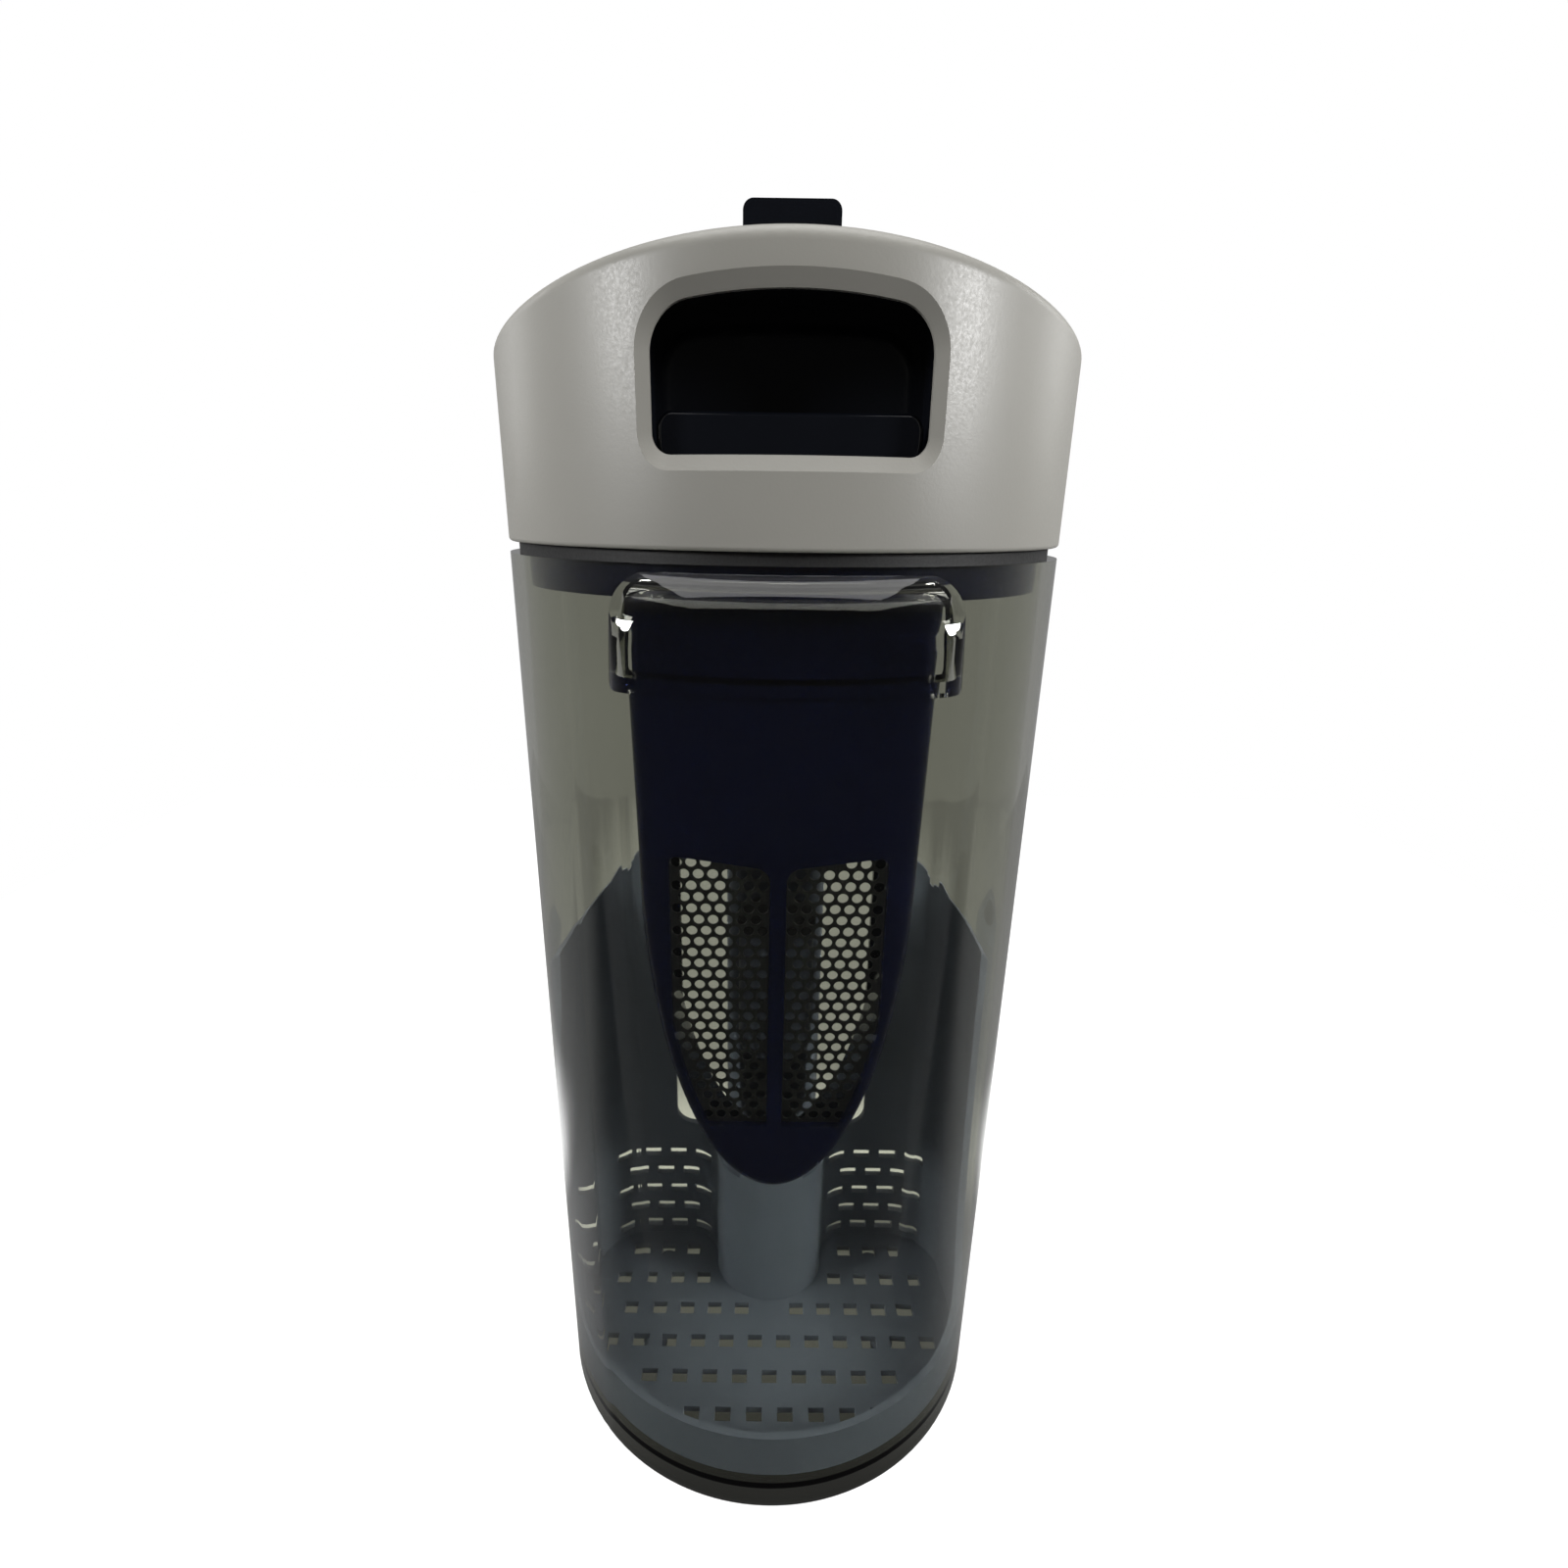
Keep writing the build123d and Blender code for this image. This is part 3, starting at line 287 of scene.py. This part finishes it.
rowStep = addNode(sheetTree, "ShaderNodeMath", {"operation": "MULTIPLY"})
sheetTree.links.new(given["Pitch"], rowStep.inputs[0])
rowStep.inputs[1].default_value = math.sqrt(3)
holeRadius = addNode(sheetTree, "ShaderNodeMath", {"operation": "MULTIPLY"})
sheetTree.links.new(given["Hole Diameter"], holeRadius.inputs[0])
holeRadius.inputs[1].default_value = 0.5
gridSize = []
gridCount = []
for axis, step in (("X", given["Pitch"]), ("Y", rowStep.outputs[0])):
    count = addNode(sheetTree, "ShaderNodeMath", {"operation": "DIVIDE"})
    sheetTree.links.new(spanXyz[axis], count.inputs[0])
    sheetTree.links.new(step, count.inputs[1])
    whole = addNode(sheetTree, "ShaderNodeMath", {"operation": "CEIL"})
    sheetTree.links.new(count.outputs[0], whole.inputs[0])
    size = addNode(sheetTree, "ShaderNodeMath", {"operation": "MULTIPLY"})
    sheetTree.links.new(whole.outputs[0], size.inputs[0])
    sheetTree.links.new(step, size.inputs[1])
    points = addNode(sheetTree, "ShaderNodeMath", {"operation": "ADD"})
    sheetTree.links.new(whole.outputs[0], points.inputs[0])
    points.inputs[1].default_value = 1.0
    gridSize.append(size.outputs[0])
    gridCount.append(points.outputs[0])
rows = addNode(sheetTree, "GeometryNodeMeshGrid", sockets={
    "Size X": gridSize[0], "Size Y": gridSize[1], "Vertices X": gridCount[0], "Vertices Y": gridCount[1]})
centre = addNode(sheetTree, "ShaderNodeVectorMath", {"operation": "MULTIPLY_ADD"})
sheetTree.links.new(span.outputs["Vector"], centre.inputs[0])
centre.inputs[1].default_value = (0.5, 0.5, 0.5)
sheetTree.links.new(room["Min"], centre.inputs[2])
halfPitch = addNode(sheetTree, "ShaderNodeVectorMath", {"operation": "SCALE"})
halfStep = addNode(sheetTree, "ShaderNodeCombineXYZ", sockets={"X": given["Pitch"], "Y": rowStep.outputs[0]})
sheetTree.links.new(halfStep.outputs["Vector"], halfPitch.inputs[0])
halfPitch.inputs["Scale"].default_value = 0.5
evenRows = addNode(sheetTree, "GeometryNodeTransform", sockets={
    "Geometry": rows.outputs["Mesh"], "Translation": centre.outputs["Vector"]})
oddRows = addNode(sheetTree, "GeometryNodeTransform", sockets={
    "Geometry": evenRows.outputs["Geometry"], "Translation": halfPitch.outputs["Vector"]})
lattice = addNode(sheetTree, "GeometryNodeJoinGeometry")
sheetTree.links.new(evenRows.outputs["Geometry"], lattice.inputs["Geometry"])
sheetTree.links.new(oddRows.outputs["Geometry"], lattice.inputs["Geometry"])
spot = addNode(sheetTree, "GeometryNodeInputPosition").outputs["Position"]
below = addNode(sheetTree, "ShaderNodeVectorMath", {"operation": "SUBTRACT"})
sheetTree.links.new(spot, below.inputs[0])
below.inputs[1].default_value = (0.0, 0.0, 1.0)
inside = addNode(sheetTree, "GeometryNodeRaycast", sockets={
    "Target Geometry": blank, "Source Position": below.outputs["Vector"],
    "Ray Direction": (0.0, 0.0, 1.0), "Ray Length": 2.0})
nearEdge = addNode(sheetTree, "GeometryNodeProximity", {"target_element": "EDGES"}, {
    "Geometry": given["Geometry"], "Sample Position": spot})
clear = addNode(sheetTree, "FunctionNodeCompare", {"operation": "GREATER_THAN"})
sheetTree.links.new(nearEdge.outputs["Distance"], clear.inputs["A"])
sheetTree.links.new(given["Border"], clear.inputs["B"])
whole = addNode(sheetTree, "FunctionNodeBooleanMath", {"operation": "AND"})
sheetTree.links.new(inside.outputs["Is Hit"], whole.inputs[0])
sheetTree.links.new(clear.outputs["Result"], whole.inputs[1])
hole = addNode(sheetTree, "GeometryNodeCurvePrimitiveCircle", sockets={
    "Resolution": given["Hole Sides"], "Radius": holeRadius.outputs[0]})
holes = addNode(sheetTree, "GeometryNodeInstanceOnPoints", sockets={
    "Points": lattice.outputs["Geometry"], "Selection": whole.outputs[0], "Instance": hole.outputs["Curve"]})
punched = addNode(sheetTree, "GeometryNodeRealizeInstances", sockets={"Geometry": holes.outputs["Instances"]})
loops = addNode(sheetTree, "GeometryNodeJoinGeometry")
sheetTree.links.new(punched.outputs["Geometry"], loops.inputs["Geometry"])
sheetTree.links.new(outline, loops.inputs["Geometry"])
face = addNode(sheetTree, "GeometryNodeFillCurve", sockets={"Curve": loops.outputs["Geometry"]})
raised = addNode(sheetTree, "GeometryNodeExtrudeMesh", sockets={
    "Mesh": face.outputs["Mesh"], "Offset Scale": given["Thickness"], "Individual": False})
under = addNode(sheetTree, "GeometryNodeFlipFaces", sockets={"Mesh": face.outputs["Mesh"]})
bothSides = addNode(sheetTree, "GeometryNodeJoinGeometry")
sheetTree.links.new(raised.outputs["Mesh"], bothSides.inputs["Geometry"])
sheetTree.links.new(under.outputs["Mesh"], bothSides.inputs["Geometry"])
closed = addNode(sheetTree, "GeometryNodeMergeByDistance", sockets={
    "Geometry": bothSides.outputs["Geometry"], "Distance": steelSheet["mergeMm"] * mm})
solidSheet = addNode(sheetTree, "GeometryNodeRealizeInstances", sockets={
    "Geometry": closed.outputs["Geometry"]})
dressed = addNode(sheetTree, "GeometryNodeSetMaterial", sockets={
    "Geometry": solidSheet.outputs["Geometry"], "Material": given["Finish"]})
addNode(sheetTree, "NodeGroupOutput", sockets={"Geometry": dressed.outputs["Geometry"]})
sheetInputs = {s.name: s.identifier for s in sheetTree.interface.items_tree if s.in_out == "INPUT"}


# outline of a sheet in its own plane: u to the outer side, v up, from the box of its CAD node
def sheetOutline(inner, outer, low, high):
    drop = steelSheet["slopeMm"] * mm
    turn = steelSheet["outerTurnMm"] * mm
    innerTurn = steelSheet["innerTurnMm"] * mm
    shoulder = steelSheet["shoulderZ"] * mm
    half = steelSheet["limitHalf"] * mm
    fall = steelSheet["limitDrop"] * mm
    points = [(inner, low)]
    steps = steelSheet["sideSteps"]
    turnSteps = steelSheet["turnSteps"]
    start = math.asin((shoulder - low) / fall)
    end = math.acos(min(outer / half, 1.0))
    for i in range(steps + 1):
        angle = start + (end - start) * i / steps
        points.append((half * math.cos(angle), shoulder - fall * math.sin(angle)))
    for i in range(turnSteps + 1):
        angle = math.pi / 2 * i / turnSteps
        points.append((outer - turn + turn * math.cos(angle), high - turn + turn * math.sin(angle)))
    for i in range(turnSteps + 1):
        angle = math.pi / 2 + math.pi / 2 * i / turnSteps
        points.append((inner + innerTurn + innerTurn * math.cos(angle),
                       high - drop - innerTurn + innerTurn * math.sin(angle)))
    return points


for sideName, side in (("left", -1), ("right", 1)):
    nodeName = "steel_sheet_" + sideName
    low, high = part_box(nodeName)
    inner = min(abs(low.x), abs(high.x))
    outer = max(abs(low.x), abs(high.x))
    edge = [(u, v, 0.0) for u, v in sheetOutline(inner, outer, low.z, high.z)]
    mesh = bpy.data.meshes.new("sheetEdge_" + sideName)
    mesh.from_pydata(edge, [(i, (i + 1) % len(edge)) for i in range(len(edge))], [])
    sheet = bpy.data.objects.new("perforated_sheet_" + sideName, mesh)
    bpy.context.scene.collection.objects.link(sheet)
    punch = sheet.modifiers.new("perforatedSheet", "NODES")
    punch.node_group = sheetTree
    punch[sheetInputs["Pitch"]] = steelSheet["pitchMm"] * mm
    punch[sheetInputs["Hole Diameter"]] = steelSheet["holeMm"] * mm
    punch[sheetInputs["Border"]] = steelSheet["borderMm"] * mm
    punch[sheetInputs["Thickness"]] = high.y - low.y
    punch[sheetInputs["Hole Sides"]] = steelSheet["holeSides"]
    punch[sheetInputs["Finish"]] = stainlessSheet
    bpy.context.view_layer.update()
    ready = sheet.evaluated_get(bpy.context.evaluated_depsgraph_get())
    plain = bpy.data.meshes.new_from_object(ready)
    sheet.modifiers.clear()
    sheet.data = plain
    standY = low.y if side < 0 else high.y
    stand = Matrix(((side, 0, 0, 0), (0, 0, -side, standY), (0, 1, 0, 0), (0, 0, 0, 1)))
    plain.transform(stand)
    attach(sheet, "lid")
    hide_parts(nodeName)
    print("sheet", sideName, len(plain.vertices), "vertices", len(plain.polygons), "faces")

# Room: white table in a grey room that is dark on the camera's side; the camera itself sees white behind it
# the pool entries paint a pool of light on the table behind the object, and the front-fade entries paint shade
# on the table in front of it, for rays that see the table through clear plastic or in metal
studio = {"front": -0.068, "back": 0.5, "halfWidth": 0.45, "cameraLevel": 0.9, "mirrorLevel": 0.23,
          "backLevel": 0.29, "frontLevel": 0.03, "shade": "#ffffff", "paintedPoolSide": (0.15, 0.07),
          "paintedPoolBack": (0.035, 0.07), "paintedPoolNear": 1.15, "paintedPoolFar": 0.5, "paintedPoolFalloff": (0.09, 0.13),
          "paintedShadeFront": (-0.05, 0.01), "paper": "#d8d8d8", "shadowPaper": "#8f8f8f", "skySpan": (-0.6, 0.7)}


# White for the camera, grey where clear plastic or metal shows it, with a painted pool of light and painted
# shade on it there, plain paper for scattered light
def whiteBoard(name, corners):
    made, tree = newMaterial(name)
    path = addNode(tree, "ShaderNodeLightPath").outputs
    shown = addNode(tree, "ShaderNodeMath", {"operation": "MAXIMUM"})
    tree.links.new(path["Is Glossy Ray"], shown.inputs[0])
    tree.links.new(path["Is Transmission Ray"], shown.inputs[1])
    direct = addNode(tree, "ShaderNodeMath", {"operation": "LESS_THAN"})
    tree.links.new(path["Diffuse Depth"], direct.inputs[0])
    direct.inputs[1].default_value = 0.5
    mirrored = addNode(tree, "ShaderNodeMath", {"operation": "MULTIPLY"})
    tree.links.new(shown.outputs[0], mirrored.inputs[0])
    tree.links.new(direct.outputs[0], mirrored.inputs[1])
    paper = addNode(tree, "ShaderNodeBsdfDiffuse", sockets={"Color": hexColour(studio["paper"])})
    thin = addNode(tree, "ShaderNodeBsdfDiffuse", sockets={"Color": hexColour(studio["shadowPaper"])})
    white = addNode(tree, "ShaderNodeEmission", sockets={
        "Color": hexColour(studio["shade"]), "Strength": studio["cameraLevel"]})
    # painted pool of light on the table behind the object, seen through it; the painted pool stops short of
    # the object's footprint, leaving painted shade under it, and the table in front has painted shade
    place = addNode(tree, "ShaderNodeSeparateXYZ", sockets={
        "Vector": addNode(tree, "ShaderNodeTexCoord").outputs["Object"]}).outputs
    aside = addNode(tree, "ShaderNodeMath", {"operation": "ABSOLUTE"})
    tree.links.new(place["X"], aside.inputs[0])
    across = addNode(tree, "ShaderNodeMapRange", {"interpolation_type": "SMOOTHSTEP"}, {
        "Value": aside.outputs[0], "From Min": studio["paintedPoolSide"][0], "From Max": studio["paintedPoolSide"][1]})
    # the painted pool of light starts behind the object's footprint, so the table under it keeps painted shade
    behind = addNode(tree, "ShaderNodeMapRange", {"interpolation_type": "SMOOTHSTEP"}, {
        "Value": place["Y"], "From Min": studio["paintedPoolBack"][0], "From Max": studio["paintedPoolBack"][1]})
    paintedPool = addNode(tree, "ShaderNodeMath", {"operation": "MULTIPLY"})
    tree.links.new(across.outputs["Result"], paintedPool.inputs[0])
    tree.links.new(behind.outputs["Result"], paintedPool.inputs[1])
    # painted shade: the table in front of the object is dimmed to the front level
    paintedFrontShade = addNode(tree, "ShaderNodeMapRange", {"interpolation_type": "SMOOTHSTEP"}, {
        "Value": place["Y"], "From Min": studio["paintedShadeFront"][0], "From Max": studio["paintedShadeFront"][1],
        "To Min": studio["frontLevel"], "To Max": studio["mirrorLevel"]})
    paintedPoolLevel = addNode(tree, "ShaderNodeMapRange", {"interpolation_type": "SMOOTHSTEP"}, {
        "Value": place["Y"], "From Min": studio["paintedPoolFalloff"][0], "From Max": studio["paintedPoolFalloff"][1],
        "To Min": studio["paintedPoolNear"], "To Max": studio["paintedPoolFar"]})
    through = addNode(tree, "ShaderNodeMapRange", sockets={
        "Value": paintedPool.outputs[0], "To Min": paintedFrontShade.outputs["Result"], "To Max": paintedPoolLevel.outputs["Result"]})
    grey = addNode(tree, "ShaderNodeEmission", sockets={
        "Color": hexColour(studio["shade"]), "Strength": through.outputs["Result"]})
    lit = addNode(tree, "ShaderNodeAddShader")
    tree.links.new(thin.outputs["BSDF"], lit.inputs[0])
    tree.links.new(white.outputs["Emission"], lit.inputs[1])
    indirect = addNode(tree, "ShaderNodeMixShader", sockets={"Fac": mirrored.outputs[0]})
    tree.links.new(paper.outputs["BSDF"], indirect.inputs[1])
    tree.links.new(grey.outputs["Emission"], indirect.inputs[2])
    pick = addNode(tree, "ShaderNodeMixShader", sockets={"Fac": path["Is Camera Ray"]})
    tree.links.new(indirect.outputs["Shader"], pick.inputs[1])
    tree.links.new(lit.outputs["Shader"], pick.inputs[2])
    addNode(tree, "ShaderNodeOutputMaterial", sockets={"Surface": pick.outputs["Shader"]})
    mesh = bpy.data.meshes.new(name)
    mesh.from_pydata(corners, [], [(0, 1, 2, 3)])
    board = bpy.data.objects.new(name, mesh)
    board.data.materials.append(made)
    bpy.context.scene.collection.objects.link(board)


wide = studio["halfWidth"]
front = studio["front"]
back = studio["back"]
whiteBoard("floor", [(-wide, front, 0), (wide, front, 0), (wide, back, 0), (-wide, back, 0)])

# The room round the table: grey behind, dark on the camera's side, white for the camera itself
world = bpy.data.worlds.new("studioRoom")
bpy.context.scene.world = world
world.use_nodes = True
tree = world.node_tree
tree.nodes.clear()
heading = addNode(tree, "ShaderNodeSeparateXYZ", sockets={
    "Vector": addNode(tree, "ShaderNodeTexCoord").outputs["Generated"]}).outputs
level = addNode(tree, "ShaderNodeMapRange", {"interpolation_type": "SMOOTHSTEP"}, {
    "Value": heading["Y"], "From Min": studio["skySpan"][0], "From Max": studio["skySpan"][1],
    "To Min": studio["frontLevel"], "To Max": studio["backLevel"]})
path = addNode(tree, "ShaderNodeLightPath").outputs
strength = addNode(tree, "ShaderNodeMix", {"data_type": "FLOAT"}, {
    "Factor": path["Is Camera Ray"]})
tree.links.new(level.outputs["Result"], strength.inputs[2])
strength.inputs[3].default_value = 1.0
glow = addNode(tree, "ShaderNodeBackground", sockets={
    "Color": (1, 1, 1, 1), "Strength": strength.outputs[0]})
addNode(tree, "ShaderNodeOutputWorld", sockets={"Surface": glow.outputs["Background"]})

# Two soft lamps at the sides in front, a broad one overhead and two weak ones for the rims
lamps = {
    "softLeft": {"at": (-0.9, -0.5, 0.5), "size": (0.2, 0.2), "watts": 6.5},
    "softRight": {"at": (0.95, -0.45, 0.48), "size": (0.2, 0.2), "watts": 8.5},
    "overhead": {"at": (0.0, 0.0, 1.1), "size": (1.0, 0.8), "watts": 6.0},
    "rimLeft": {"at": (-0.8, 0.45, 0.5), "size": (0.25, 0.5), "watts": 1.0},
    "rimRight": {"at": (0.85, 0.4, 0.55), "size": (0.25, 0.5), "watts": 1.5},
}
target = Vector((0, 0, 0.16))
for name, lamp in lamps.items():
    light = bpy.data.lights.new(name, "AREA")
    light.shape = "RECTANGLE"
    light.size, light.size_y = lamp["size"]
    light.energy = lamp["watts"]
    holder = bpy.data.objects.new(name, light)
    holder.location = lamp["at"]
    holder.rotation_euler = (target - Vector(lamp["at"])).to_track_quat("-Z", "Y").to_euler()
    bpy.context.scene.collection.objects.link(holder)

# Camera worked out from the outline in the photograph, a close wide view from just above the joint
shot = {"at": (-3.4, -189.9, 218.0), "focalPx": 890.0, "axisPx": (780.0, 860.0), "imagePx": 1600.0,
        "pitchDeg": 20.73, "yawDeg": 0.135, "rollDeg": -0.735, "sensorMm": 36.0, "nearMm": 10.0}
pitch = math.radians(shot["pitchDeg"])
yaw = math.radians(shot["yawDeg"])
roll = math.radians(shot["rollDeg"])
ahead = Vector((math.sin(yaw) * math.cos(pitch), math.cos(yaw) * math.cos(pitch), -math.sin(pitch)))
right = Vector((math.cos(yaw), -math.sin(yaw), 0))
down = ahead.cross(right)
rolledRight = math.cos(roll) * right + math.sin(roll) * down
rolledDown = -math.sin(roll) * right + math.cos(roll) * down
cameraData = bpy.data.cameras.new("camera")
cameraData.sensor_width = shot["sensorMm"]
cameraData.lens = cameraData.sensor_width * shot["focalPx"] / shot["imagePx"]
cameraData.shift_x = (shot["imagePx"] / 2 - shot["axisPx"][0]) / shot["imagePx"]
cameraData.shift_y = (shot["axisPx"][1] - shot["imagePx"] / 2) / shot["imagePx"]
cameraData.clip_start = shot["nearMm"] * mm
camera = bpy.data.objects.new("camera", cameraData)
bpy.context.scene.collection.objects.link(camera)
turn = Matrix((rolledRight, -rolledDown, -ahead)).transposed().to_4x4()
camera.matrix_world = Matrix.Translation(Vector(shot["at"]) * mm) @ turn
bpy.context.scene.camera = camera

bpy.context.scene.view_settings.view_transform = "Standard"
print("scene ready")
